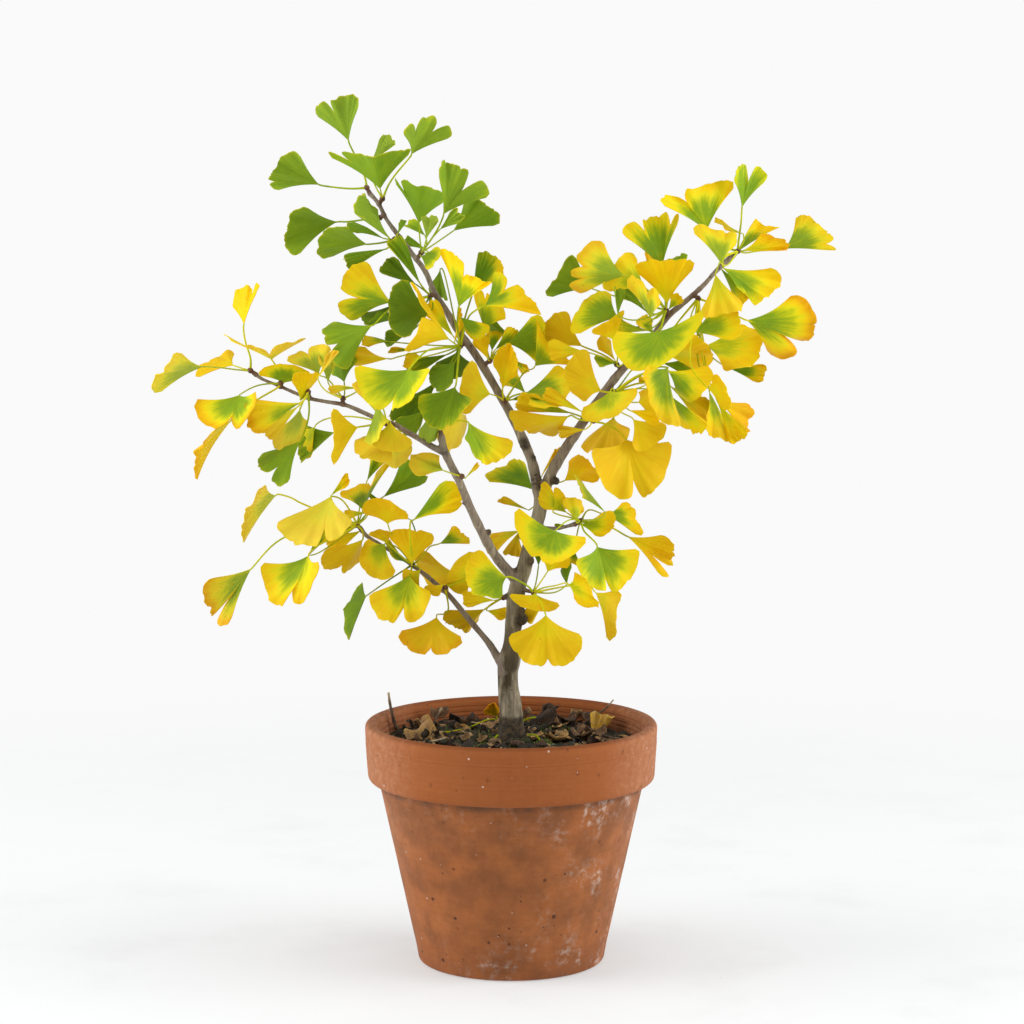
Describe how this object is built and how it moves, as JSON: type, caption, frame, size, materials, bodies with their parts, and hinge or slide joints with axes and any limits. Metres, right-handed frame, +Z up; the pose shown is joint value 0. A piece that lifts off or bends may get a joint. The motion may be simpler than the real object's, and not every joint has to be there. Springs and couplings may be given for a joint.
{
  "type": "potted ginkgo bonsai",
  "caption": "Young ginkgo with fan-shaped green and yellow leaves on a forked stem, growing in soil in a round tapered clay pot with a banded rim and a drain hole.",
  "frame": {"origin": "centre of the bounding box in plan, on the surface that the pot stands on", "axes": "+Z up; +X to the right and +Y away from the side seen in the picture"},
  "size_m": [0.4566, 0.2, 0.5901],
  "materials": {
    "terracotta": "matte",
    "soil": "matte",
    "bark": "matte",
    "leaf_green": "satin",
    "leaf_turning": "satin",
    "leaf_yellow": "satin",
    "dead_leaf": "matte"
  },
  "bodies": {
    "root": {"dead_leaf_amber": "dead_leaf", "dead_leaf_back": "dead_leaf", "dead_leaf_curled": "dead_leaf", "dead_leaf_front": "dead_leaf", "dead_leaf_left": "dead_leaf", "dead_leaf_olive": "dead_leaf", "dead_leaf_strip": "dead_leaf", "dead_leaf_yellow": "dead_leaf", "leaves_bud": "leaf_green", "leaves_centre": "leaf_turning", "leaves_centre_high": "leaf_turning", "leaves_fork": "leaf_turning", "leaves_high": "leaf_green", "leaves_left_inner": "leaf_turning", "leaves_left_mid": "leaf_turning", "leaves_left_side": "leaf_turning", "leaves_low_bud": "leaf_yellow", "leaves_low_mid": "leaf_turning", "leaves_low_tip": "leaf_turning", "leaves_right_bud": "leaf_yellow", "leaves_right_high": "leaf_turning", "leaves_right_low": "leaf_yellow", "leaves_right_mid": "leaf_turning", "leaves_right_tip": "leaf_turning", "leaves_right_upper": "leaf_turning", "leaves_side_far": "leaf_turning", "leaves_side_inner": "leaf_turning", "leaves_side_mid": "leaf_turning", "leaves_side_outer": "leaf_turning", "leaves_side_tip": "leaf_yellow", "leaves_stem_high": "leaf_yellow", "leaves_stem_left": "leaf_yellow", "leaves_stem_right": "leaf_yellow", "leaves_stub": "leaf_yellow", "leaves_top": "leaf_green", "leaves_twig": "leaf_turning", "leaves_upper": "leaf_green", "leaves_upper_right": "leaf_green", "pot": "terracotta", "soil": "soil", "tree": "bark", "twig_back": "bark", "twig_brown": "bark", "twig_pale": "bark", "twig_root": "bark"}
  },
  "joints": []
}
